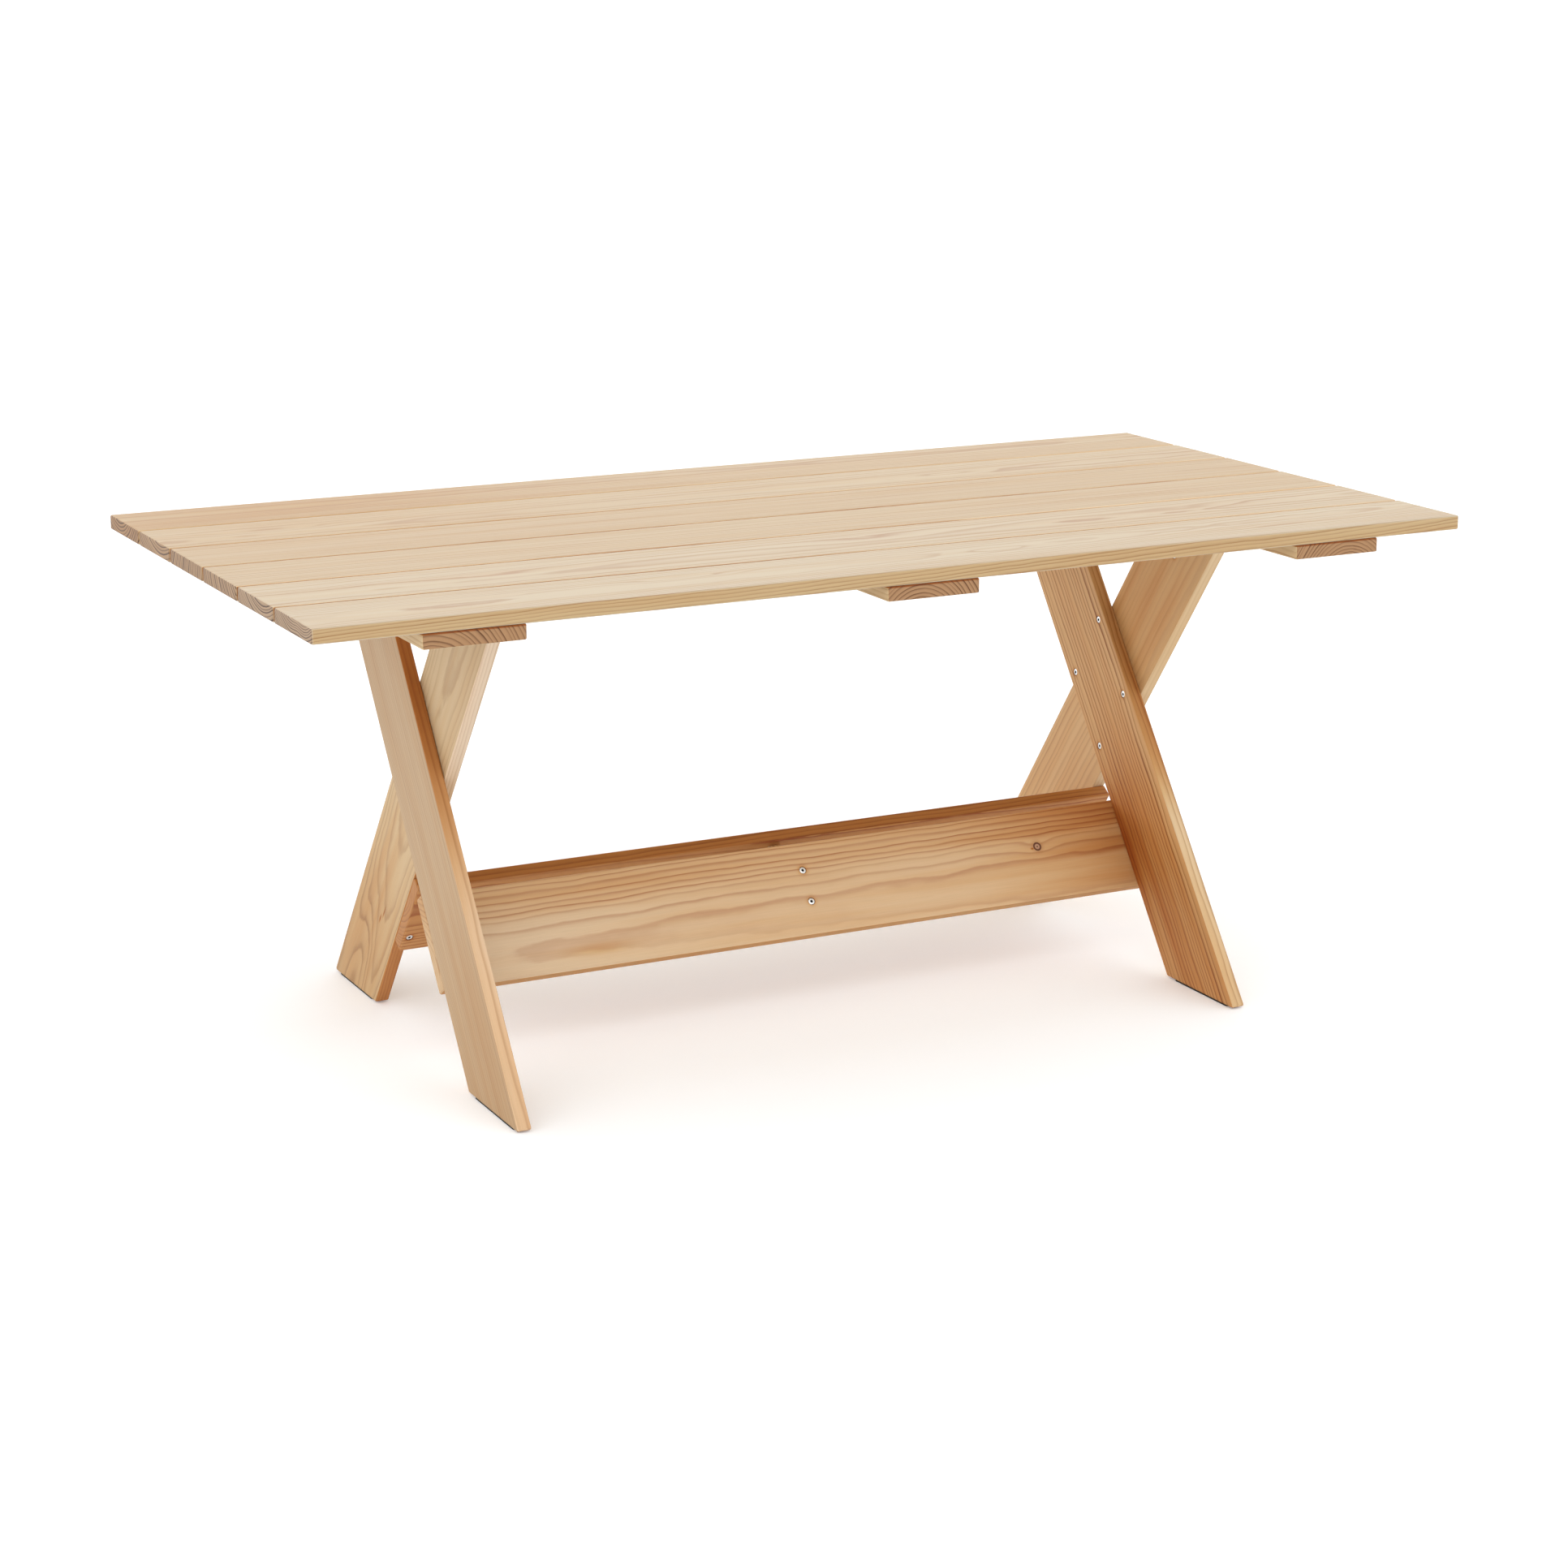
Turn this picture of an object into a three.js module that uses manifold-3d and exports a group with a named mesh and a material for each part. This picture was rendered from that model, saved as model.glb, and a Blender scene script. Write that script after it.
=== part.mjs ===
// A long outdoor dining table made of planed softwood boards: a slatted top on three battens, two
// crossed-leg trestles, and a pair of stretcher boards that lean together like a ridge between them.
//
// Millimetres, +Z up. The origin is on the floor under the middle of the top, +X runs along the
// top and +Y across it. The left trestle stands at -X; the right one is the same trestle turned half
// a turn about Z, and so is the rear stretcher against the front one.

import * as THREE from 'three';
import { mergeVertices } from 'three/addons/utils/BufferGeometryUtils.js';
import Module from 'manifold-3d';

const wasm = await Module();
wasm.setup();

// ---------------------------------------------------------------- driving dimensions

const TABLE_LENGTH = 1800;
const TABLE_HEIGHT = 740;

// One board section is used for every wooden piece.
const BOARD_WIDTH = 145;
const BOARD_THICKNESS = 21;
const BOARD_ARRIS = 2;
const BOARD_CORNER = 3;

// Pieces that lie on each other keep this much air between them.
const SEAT = 0.3;

const TOP_BOARD_COUNT = 6;
const TOP_BOARD_GAP = 5;

// The end battens' middles, from the middle of the top.
const BATTEN_OFFSET = 679;

// The plane where a trestle's two legs lie face to face, from the middle of the top.
const TRESTLE_OFFSET = 584;
const LEG_TILT = THREE.MathUtils.degToRad(35.6);
const CROSSING_HEIGHT = 424.6;

const PAD = { length: 138, width: 19, thickness: 2.4, arris: 0.4, corner: 3 };

// From the ridge where the legs' lower edges meet, down the slope to a stretcher's upper edge.
const STRETCHER_DROP = 70;
const SPACER_BOTTOM = 120;
const SPACER_TOP = 222;

// Where the screws sit: the crossing screws along and across the inner leg, the stretcher's from its
// upper edge, the battens' from each top board's middle line.
const CROSSING_SCREWS = [[86, -54], [43, 54], [-43, -54], [-86, 54]];
const STRETCHER_END_SCREWS = [30, 115];
const STRETCHER_MIDDLE_SCREWS = [43.5, 93.5];
const BATTEN_SCREW_SPREAD = 45;

// A screw is given by its head, the land above the head's cone, its shank, its length and the key it
// takes. It sits `sink` below the face in a hole `recess` wide.
const FRAME_HEAD = { head: 5, land: 1, cone: 3, key: 4, keyDepth: 2.6, sink: 0.6, recess: 5.8 };
const FRAME_SCREW = { ...FRAME_HEAD, shank: 3.4 };
const LEG_BOLT = { ...FRAME_SCREW, shank: 3, length: 30.5, tip: 1 };
const BRACKET_SCREW = { head: 4, land: 1.8, cone: 0.4, shank: 2, key: 2.5, keyDepth: 1.4, length: 18 };
const CROSSING_SCREW_LENGTH = 38;
const STRETCHER_SCREW_LENGTH = 50;
const FASTENER_SIDES = 10;
const HOLE_SIDES = 20;
const HOLE_SLACK = 0.3;

// The conical seats for the screws that come up through the battens into the top boards.
const BATTEN_COUNTERSINK = { radius: 4.8, depth: 3.2, sides: 8 };

// The steel angle that ties each leg's head to the end batten.
const BRACKET = { width: 40, thickness: 3, drop: 58, reach: 65, outerBend: 4, screws: [45, 58] };
const BOLT_HEIGHT = 658;
const NUT = { acrossFlats: 10, thickness: 5 };

const COLOURS = {
  top: '#e4d3b8',
  batten: '#d8bc92',
  leg: '#d0ac82',
  stretcher: '#cba476',
  steel: '#c9c9c6',
  pad: '#1b1a19',
};

// ---------------------------------------------------------------- sizes that follow

const TOP_PITCH = BOARD_WIDTH + TOP_BOARD_GAP;
const TABLE_WIDTH = TOP_BOARD_COUNT * TOP_PITCH - TOP_BOARD_GAP;
const TOP_UNDERSIDE = TABLE_HEIGHT - BOARD_THICKNESS;
const BATTEN_UNDERSIDE = TOP_UNDERSIDE - SEAT - BOARD_THICKNESS;
const LEG_BOTTOM = PAD.thickness;
const LEG_TOP = TOP_UNDERSIDE - SEAT;
const LEG_MIDDLE = (BOARD_THICKNESS + SEAT) / 2;
const OUTER_LEG = TRESTLE_OFFSET + LEG_MIDDLE;
const INNER_LEG = TRESTLE_OFFSET - LEG_MIDDLE;
const TRESTLE_FACE = TRESTLE_OFFSET + SEAT / 2 + BOARD_THICKNESS;
const RIDGE_HEIGHT = CROSSING_HEIGHT - BOARD_WIDTH / 2 / Math.sin(LEG_TILT);

const X_AXIS = new THREE.Vector3(1, 0, 0);
const Y_AXIS = new THREE.Vector3(0, 1, 0);
const Z_AXIS = new THREE.Vector3(0, 0, 1);

// ---------------------------------------------------------------- solids and booleans

// A closed geometry as a solid that can be cut.
function toSolid(geometry) {
  const bare = geometry.clone();
  bare.deleteAttribute('normal');
  bare.deleteAttribute('uv');
  const merged = mergeVertices(bare, 1e-4);
  const triangles = [];
  for (let i = 0; i < merged.index.count; i += 3) {
    const [a, b, c] = merged.index.array.slice(i, i + 3);
    if (a !== b && b !== c && c !== a) triangles.push(a, b, c);
  }
  return new wasm.Manifold(new wasm.Mesh({
    numProp: 3,
    vertProperties: merged.attributes.position.array,
    triVerts: Uint32Array.from(triangles),
  }));
}

function toGeometry(solid) {
  const { vertProperties, triVerts } = solid.getMesh();
  const geometry = new THREE.BufferGeometry();
  geometry.setAttribute('position', new THREE.BufferAttribute(vertProperties, 3));
  geometry.setIndex(new THREE.BufferAttribute(triVerts, 1));
  geometry.computeVertexNormals();
  return geometry;
}

// Cuts every fastener's hole out of the pieces that it passes through.
function drill(assembly) {
  assembly.updateMatrixWorld(true);
  const bores = [];
  const pieces = [];
  assembly.traverse((node) => {
    if (node.userData.bore) bores.push(node);
    else if (node.isMesh) pieces.push(node);
  });
  for (const piece of pieces) {
    const toPiece = piece.matrixWorld.clone().invert();
    piece.geometry.computeBoundingBox();
    let solid = toSolid(piece.geometry);
    for (const bore of bores) {
      const cutter = bore.userData.bore.clone();
      cutter.applyMatrix4(toPiece.clone().multiply(bore.matrixWorld));
      cutter.computeBoundingBox();
      if (cutter.boundingBox.intersectsBox(piece.geometry.boundingBox)) {
        solid = solid.subtract(toSolid(cutter));
      }
    }
    piece.geometry = toGeometry(solid);
  }
}

// ---------------------------------------------------------------- placing

// Moves a piece and turns it so that its own +X runs along `along` and its own +Z faces `facing`.
function place(piece, position, along, facing) {
  const across = new THREE.Vector3().crossVectors(facing, along);
  piece.quaternion.setFromRotationMatrix(new THREE.Matrix4().makeBasis(along, across, facing));
  piece.position.set(...position);
  return piece;
}

function mesh(name, geometry, colour, roughness, metalness = 0) {
  const material = new THREE.MeshStandardMaterial({ color: colour, roughness, metalness });
  const piece = new THREE.Mesh(geometry, material);
  piece.name = name;
  return piece;
}

// ---------------------------------------------------------------- boards and pads

// A closed outline through `corners`, given anticlockwise, with every corner rounded to `radius`.
function roundedOutline(corners, radius) {
  const outline = new THREE.Shape();
  corners.forEach((corner, i) => {
    const toBefore = corners.at(i - 1).clone().sub(corner).normalize();
    const toAfter = corners[(i + 1) % corners.length].clone().sub(corner).normalize();
    const halfAngle = toBefore.angleTo(toAfter) / 2;
    const tangent = radius / Math.tan(halfAngle);
    const toCentre = toBefore.clone().add(toAfter).setLength(radius / Math.sin(halfAngle));
    const startAngle = toBefore.multiplyScalar(tangent).sub(toCentre).angle();
    const endAngle = toAfter.multiplyScalar(tangent).sub(toCentre).angle();
    const centre = toCentre.add(corner);
    outline.absarc(centre.x, centre.y, radius, startAngle, endAngle, false);
  });
  outline.closePath();
  return outline;
}

// A flat slab on an outline, with all its edges eased, lying in its own XY plane about Z = 0.
function slab(corners, { thickness, arris, corner }) {
  const geometry = new THREE.ExtrudeGeometry(roundedOutline(corners, corner), {
    depth: thickness - 2 * arris,
    curveSegments: 1,
    bevelSize: arris,
    bevelThickness: arris,
    bevelOffset: -arris,
    bevelSegments: 2,
  });
  return geometry.translate(0, 0, arris - thickness / 2);
}

// The four corners of a board that runs from `start` to `end` along its own X, its ends cut on the
// slant by `skew`: the shift along X for each unit across.
function boardCorners(start, end, width, skew = 0) {
  const half = width / 2;
  return [
    new THREE.Vector2(start - skew * half, -half),
    new THREE.Vector2(end - skew * half, -half),
    new THREE.Vector2(end + skew * half, half),
    new THREE.Vector2(start + skew * half, half),
  ];
}

function board(name, corners, colour) {
  const section = { thickness: BOARD_THICKNESS, arris: BOARD_ARRIS, corner: BOARD_CORNER };
  return mesh(name, slab(corners, section), colour, 0.6);
}

// ---------------------------------------------------------------- fasteners

// A turned solid about its own Z from [radius, height] points that start and end on the axis.
function turned(profile, sides) {
  const points = profile.map(([radius, height]) => new THREE.Vector2(radius, height));
  return new THREE.LatheGeometry(points, sides).rotateX(Math.PI / 2);
}

// A countersunk screw or bolt, its head's top at its own origin and its shank down its own -Z, with
// a six-sided socket for the key.
function fastenerGeometry({ head, land, cone, shank, key, keyDepth, length, tip = 1.4 * shank }) {
  const shaft = turned([
    [0, -length],
    [shank, tip - length],
    [shank, -land - cone],
    [head, -land],
    [head, 0],
    [0, 0],
  ], FASTENER_SIDES);
  const socket = new THREE.CylinderGeometry(key / Math.sqrt(3), key / Math.sqrt(3), 2 * keyDepth, 6);
  return toGeometry(toSolid(shaft).subtract(toSolid(socket.rotateX(Math.PI / 2))));
}

// The hole that a fastener needs: its own shape with slack all round, open above the head.
function boreGeometry({ head, land, cone, shank, length, recess = head + HOLE_SLACK }) {
  const shaft = shank + HOLE_SLACK;
  const openTop = head;
  return turned([
    [0, -length - HOLE_SLACK],
    [shaft, -length - HOLE_SLACK],
    [shaft, -land - cone - HOLE_SLACK],
    [recess, -land - HOLE_SLACK],
    [recess, openTop],
    [0, openTop],
  ], HOLE_SIDES);
}

// A named fastener with its head on the face that passes through `position` and faces `facing`.
function fastener(name, kind, position, facing) {
  const piece = mesh(name, fastenerGeometry(kind), COLOURS.steel, 0.3, 1);
  piece.userData.bore = boreGeometry(kind);
  const along = Math.abs(facing.x) > 0.5 ? Y_AXIS : X_AXIS;
  const seat = new THREE.Vector3(...position).addScaledVector(facing, -(kind.sink ?? 0));
  return place(piece, seat, along, facing);
}

// ---------------------------------------------------------------- the top

function countersink(x, y) {
  const { radius, depth, sides } = BATTEN_COUNTERSINK;
  const hole = new THREE.Group();
  hole.userData.bore = turned([[0, -depth], [radius, 0], [radius, depth], [0, depth]], sides);
  return place(hole, [x, y, BATTEN_UNDERSIDE], X_AXIS, Z_AXIS.clone().negate());
}

function tableTop() {
  const top = new THREE.Group();
  const boardMiddles = Array.from(
    { length: TOP_BOARD_COUNT },
    (_, i) => (i - (TOP_BOARD_COUNT - 1) / 2) * TOP_PITCH,
  );
  boardMiddles.forEach((y, i) => {
    const corners = boardCorners(-TABLE_LENGTH / 2, TABLE_LENGTH / 2, BOARD_WIDTH);
    const plank = board(`top_board_${i + 1}`, corners, COLOURS.top);
    top.add(place(plank, [0, y, TABLE_HEIGHT - BOARD_THICKNESS / 2], X_AXIS, Z_AXIS));
  });
  for (const [side, x] of [['left', -BATTEN_OFFSET], ['middle', 0], ['right', BATTEN_OFFSET]]) {
    const corners = boardCorners(-TABLE_WIDTH / 2, TABLE_WIDTH / 2, BOARD_WIDTH);
    const batten = board(`batten_${side}`, corners, COLOURS.batten);
    top.add(place(batten, [x, 0, BATTEN_UNDERSIDE + BOARD_THICKNESS / 2], Y_AXIS, Z_AXIS));
    for (const y of boardMiddles) {
      top.add(countersink(x, y - BATTEN_SCREW_SPREAD), countersink(x, y + BATTEN_SCREW_SPREAD));
    }
  }
  return top;
}

// ---------------------------------------------------------------- the trestles

// A leg in a group whose own X runs up the leg from the crossing and whose own Z faces the middle of
// the table. `lean` is 1 for a leg that rises towards +Y and -1 for one that rises towards -Y.
function leg(name, x, lean) {
  const upTheLeg = new THREE.Vector3(0, lean * Math.sin(LEG_TILT), Math.cos(LEG_TILT));
  const group = place(new THREE.Group(), [x, 0, CROSSING_HEIGHT], upTheLeg, X_AXIS);
  const alongLeg = (height) => (height - CROSSING_HEIGHT) / Math.cos(LEG_TILT);
  const corners = boardCorners(
    alongLeg(LEG_BOTTOM),
    alongLeg(LEG_TOP),
    BOARD_WIDTH,
    -lean * Math.tan(LEG_TILT),
  );
  group.add(board(`leg_${name}`, corners, COLOURS.leg));
  const boltSeat = [alongLeg(BOLT_HEIGHT), 0, BOARD_THICKNESS / 2];
  group.add(fastener(`leg_bolt_${name}`, LEG_BOLT, boltSeat, Z_AXIS));
  return group;
}

// The pad, the bracket and the nut that belong to a leg, all square to the floor.
function legFittings(name, x, lean) {
  const group = new THREE.Group();
  const lateral = (height) => lean * (height - CROSSING_HEIGHT) * Math.tan(LEG_TILT);

  const padSection = { ...PAD, thickness: PAD.thickness - SEAT };
  const padSlab = slab(boardCorners(-PAD.length / 2, PAD.length / 2, PAD.width), padSection);
  const pad = mesh(`foot_pad_${name}`, padSlab, COLOURS.pad, 0.85);
  group.add(place(pad, [x, lateral(LEG_BOTTOM), padSection.thickness / 2], Y_AXIS, Z_AXIS));

  const face = x - BOARD_THICKNESS / 2 - SEAT;
  const y = lateral(BOLT_HEIGHT);
  const outwards = X_AXIS.clone().negate();
  const towardsFront = Y_AXIS.clone().negate();
  const bracket = mesh(`leg_bracket_${name}`, bracketGeometry(), COLOURS.steel, 0.35, 1);
  group.add(place(bracket, [face, y, BATTEN_UNDERSIDE - SEAT], outwards, towardsFront));
  BRACKET.screws.forEach((reach, i) => {
    const seat = [face - reach, y, BATTEN_UNDERSIDE - SEAT - BRACKET.thickness - SEAT - BRACKET_SCREW.land];
    const screwName = `bracket_screw_${name}_${i + 1}`;
    group.add(fastener(screwName, BRACKET_SCREW, seat, Z_AXIS.clone().negate()));
  });

  const nut = mesh(`leg_nut_${name}`, nutGeometry(), COLOURS.steel, 0.35, 1);
  const nutSeat = face - BRACKET.thickness - SEAT - NUT.thickness / 2;
  group.add(place(nut, [nutSeat, y, BOLT_HEIGHT], Y_AXIS, X_AXIS));
  return group;
}

// A bent steel angle: its own X reaches out under the batten and its own Y drops down the leg.
function bracketGeometry() {
  const { width, thickness, drop, reach, outerBend } = BRACKET;
  const innerBend = outerBend - thickness;
  const profile = new THREE.Shape();
  profile.absarc(outerBend, outerBend, outerBend, Math.PI, 1.5 * Math.PI, false);
  profile.lineTo(reach, 0);
  profile.lineTo(reach, thickness);
  profile.absarc(outerBend, outerBend, innerBend, 1.5 * Math.PI, Math.PI, true);
  profile.lineTo(thickness, drop);
  profile.lineTo(0, drop);
  profile.closePath();
  const settings = { depth: width, bevelEnabled: false, curveSegments: 2 };
  return new THREE.ExtrudeGeometry(profile, settings).translate(0, 0, -width / 2);
}

function nutGeometry() {
  const radius = NUT.acrossFlats / Math.sqrt(3);
  return new THREE.CylinderGeometry(radius, radius, NUT.thickness, 6).rotateX(Math.PI / 2);
}

// Two crossed legs screwed through each other, as the left trestle stands.
function trestle(side) {
  const group = new THREE.Group();
  const outer = leg(`${side}_outer`, -OUTER_LEG, 1);
  const inner = leg(`${side}_inner`, -INNER_LEG, -1);
  CROSSING_SCREWS.forEach(([along, across], i) => {
    const kind = { ...FRAME_SCREW, length: CROSSING_SCREW_LENGTH };
    const seat = [along, across, BOARD_THICKNESS / 2];
    inner.add(fastener(`crossing_screw_${side}_${i + 1}`, kind, seat, Z_AXIS));
  });
  group.add(outer, inner);
  group.add(legFittings(`${side}_outer`, -OUTER_LEG, 1), legFittings(`${side}_inner`, -INNER_LEG, -1));
  return group;
}

// ---------------------------------------------------------------- the stretcher

// One leaning stretcher board with its screws, as the front one lies. Its own X runs along the table,
// its own Y up the slope to the ridge and its own Z out of the face that lies against the legs. Each
// end is flush with the outer face of the leg it is screwed to.
function stretcher(side) {
  const outwards = new THREE.Vector3(0, -Math.cos(LEG_TILT), Math.sin(LEG_TILT));
  const downSlope = new THREE.Vector3(0, -Math.sin(LEG_TILT), -Math.cos(LEG_TILT));
  const middle = new THREE.Vector3(0, 0, RIDGE_HEIGHT)
    .addScaledVector(downSlope, STRETCHER_DROP + BOARD_WIDTH / 2)
    .addScaledVector(outwards, -SEAT - BOARD_THICKNESS / 2);
  const group = place(new THREE.Group(), middle.toArray(), X_AXIS, outwards);

  const corners = boardCorners(-TRESTLE_FACE, TRESTLE_OFFSET - SEAT / 2, BOARD_WIDTH);
  group.add(board(`stretcher_${side}`, corners, COLOURS.stretcher));

  const kind = { ...FRAME_SCREW, length: STRETCHER_SCREW_LENGTH };
  const fromTopEdge = (distance) => BOARD_WIDTH / 2 - distance;
  STRETCHER_MIDDLE_SCREWS.forEach((distance, i) => {
    const seat = [0, fromTopEdge(distance), BOARD_THICKNESS / 2];
    group.add(fastener(`spacer_screw_${side}_${i + 1}`, kind, seat, Z_AXIS));
  });
  for (const [end, x] of [['near', -OUTER_LEG], ['far', INNER_LEG]]) {
    STRETCHER_END_SCREWS.forEach((distance, i) => {
      const seat = [x, fromTopEdge(distance), -BOARD_THICKNESS / 2];
      const inwards = Z_AXIS.clone().negate();
      group.add(fastener(`stretcher_screw_${side}_${end}_${i + 1}`, kind, seat, inwards));
    });
  }
  return group;
}

// The board that stands across the middle and keeps the two stretchers apart.
function spacer() {
  const innerRidge = RIDGE_HEIGHT - (BOARD_THICKNESS + 2 * SEAT) / Math.sin(LEG_TILT);
  const halfWidth = (height) => (innerRidge - height) * Math.tan(LEG_TILT);
  const middle = (SPACER_BOTTOM + SPACER_TOP) / 2;
  const corners = [
    new THREE.Vector2(-halfWidth(SPACER_BOTTOM), SPACER_BOTTOM - middle),
    new THREE.Vector2(halfWidth(SPACER_BOTTOM), SPACER_BOTTOM - middle),
    new THREE.Vector2(halfWidth(SPACER_TOP), SPACER_TOP - middle),
    new THREE.Vector2(-halfWidth(SPACER_TOP), SPACER_TOP - middle),
  ];
  return place(board('stretcher_spacer', corners, COLOURS.stretcher), [0, 0, middle], Y_AXIS, X_AXIS);
}

// ---------------------------------------------------------------- the whole table

// The same assembly turned half a turn about the table's upright middle line.
function turnedAbout(assembly) {
  const group = new THREE.Group();
  group.rotation.z = Math.PI;
  group.add(assembly);
  return group;
}

const table = new THREE.Group();
table.add(tableTop());
table.add(trestle('left'), turnedAbout(trestle('right')));
table.add(stretcher('front'), turnedAbout(stretcher('rear')), spacer());
drill(table);

export default table;
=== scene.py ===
"""The looks of a long picnic table of planed softwood boards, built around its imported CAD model.

Every board, bracket and pad of the CAD model stays and gets softened edges and a material. Each
wooden board has a material of its own, cut out of a procedural log: the growth rings run through
the board as they would through real timber, so its faces, edges and ends agree with each other.
Every fastener is replaced by a finely made one. Metres, +Z up, +X along the top, the front at -Y.
"""

import math
from collections import namedtuple

import bmesh
import bpy
import numpy as np
from mathutils import Matrix, Vector


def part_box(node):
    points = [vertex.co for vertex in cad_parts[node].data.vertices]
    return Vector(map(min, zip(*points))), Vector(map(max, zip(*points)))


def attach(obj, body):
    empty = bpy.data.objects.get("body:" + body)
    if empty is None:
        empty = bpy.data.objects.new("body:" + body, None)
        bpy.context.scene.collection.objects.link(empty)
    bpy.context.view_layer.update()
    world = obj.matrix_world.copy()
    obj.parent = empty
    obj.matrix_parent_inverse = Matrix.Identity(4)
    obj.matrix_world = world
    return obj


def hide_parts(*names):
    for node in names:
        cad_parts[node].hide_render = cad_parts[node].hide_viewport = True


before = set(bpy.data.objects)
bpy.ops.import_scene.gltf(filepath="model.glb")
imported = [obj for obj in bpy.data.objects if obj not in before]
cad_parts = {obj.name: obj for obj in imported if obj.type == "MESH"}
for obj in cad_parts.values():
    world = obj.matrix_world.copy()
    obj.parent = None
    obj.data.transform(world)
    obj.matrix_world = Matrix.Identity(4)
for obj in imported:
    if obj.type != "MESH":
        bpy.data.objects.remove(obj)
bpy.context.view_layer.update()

# ---------------------------------------------------------------- named sizes

MM = 0.001
LEG_TILT = math.radians(35.6)

X_AXIS = Vector((1, 0, 0))
Y_AXIS = Vector((0, 1, 0))
Z_AXIS = Vector((0, 0, 1))

# Two screws come up through each batten into each top board, this far from the board's middle, and
# their heads lie this deep in the batten.
BATTEN_SCREW_SPREAD = 45 * MM
BATTEN_SCREW_SINK = 0.3 * MM

# The camera stands in front of the table's left corner, a little above the top.
CAMERA_PLACE = (-2.2311, -4.2827, 1.6155)
CAMERA_AZIMUTH = math.radians(-26.30)
CAMERA_ELEVATION = math.radians(12.06)
CAMERA_LENS = 75.58
CAMERA_SENSOR = 36
CAMERA_SHIFT = (0.0438, -0.1062)

FLOOR_HALF = 90
FLOOR_WHITE = (0.91, 0.93, 0.95, 1)
FLOOR_GLOW = 0.12

# How bright the studio is on each side, low down and half-way up, and overhead.
SKY_SIDES = (
    (-Y_AXIS, 0.3, 2.2),
    (-X_AXIS, 1.5, 1.5),
    (Y_AXIS, 4.0, 0.6),
    (X_AXIS, 1.5, 1.2),
)
SKY_CEILING = 0.8

# How high up the middle and the ceiling begin and are complete, from 0 at the horizon to 1 overhead.
SKY_MIDDLE_HEIGHTS = (0.30, 0.45)
SKY_CEILING_HEIGHTS = (0.72, 0.92)

# ---------------------------------------------------------------- camera, floor and light


def add_camera():
    data = bpy.data.cameras.new("camera")
    data.sensor_width = CAMERA_SENSOR
    data.lens = CAMERA_LENS
    data.shift_x, data.shift_y = CAMERA_SHIFT
    back = Vector((
        math.sin(CAMERA_AZIMUTH) * math.cos(CAMERA_ELEVATION),
        -math.cos(CAMERA_AZIMUTH) * math.cos(CAMERA_ELEVATION),
        math.sin(CAMERA_ELEVATION),
    ))
    camera = bpy.data.objects.new("camera", data)
    camera.location = CAMERA_PLACE
    camera.rotation_euler = back.to_track_quat("Z", "Y").to_euler()
    bpy.context.collection.objects.link(camera)
    bpy.context.scene.camera = camera


def add_floor():
    """A wide white floor that glows a little, so that shadows on it stay faint."""
    mesh = bpy.data.meshes.new("floor")
    corners = [(x * FLOOR_HALF, y * FLOOR_HALF, 0) for x, y in ((-1, -1), (1, -1), (1, 1), (-1, 1))]
    mesh.from_pydata(corners, [], [(0, 1, 2, 3)])
    floor = bpy.data.objects.new("floor", mesh)
    bpy.context.collection.objects.link(floor)
    material, g = new_material("floor")
    g.surface({
        "Base Color": FLOOR_WHITE,
        "Emission Color": (1, 1, 1, 1),
        "Emission Strength": FLOOR_GLOW,
        "Roughness": 0.9,
        "Specular IOR Level": 0.1,
    })
    mesh.materials.append(material)


def add_sky():
    """A studio of soft white light: a bright backdrop, broad lamps in front and a dimmer ceiling."""
    world = bpy.data.worlds.new("studio")
    world.use_nodes = True
    g = Graph(world.node_tree)
    direction = g.add("ShaderNodeTexCoord").outputs["Generated"]
    height = g.add("ShaderNodeSeparateXYZ", {0: direction}).outputs["Z"]
    level = g.vector("MULTIPLY", direction, (1, 1, 0))
    level = g.vector("NORMALIZE", level)
    low = 0.0
    middle = 0.0
    for side, low_light, middle_light in SKY_SIDES:
        share = g.math("MAXIMUM", g.dot(level, side), 0.0)
        share = g.math("MULTIPLY", share, share)
        low = g.math("MULTIPLY_ADD", share, low_light, low)
        middle = g.math("MULTIPLY_ADD", share, middle_light, middle)
    strength = g.between(g.ramp(height, *SKY_MIDDLE_HEIGHTS), low, middle)
    strength = g.between(g.ramp(height, *SKY_CEILING_HEIGHTS), strength, SKY_CEILING)
    shader = g.add("ShaderNodeBackground", {"Color": (1, 1, 1, 1), "Strength": strength})
    g.add("ShaderNodeOutputWorld", {"Surface": shader.outputs[0]})
    bpy.context.scene.world = world


# ---------------------------------------------------------------- node graphs


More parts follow.
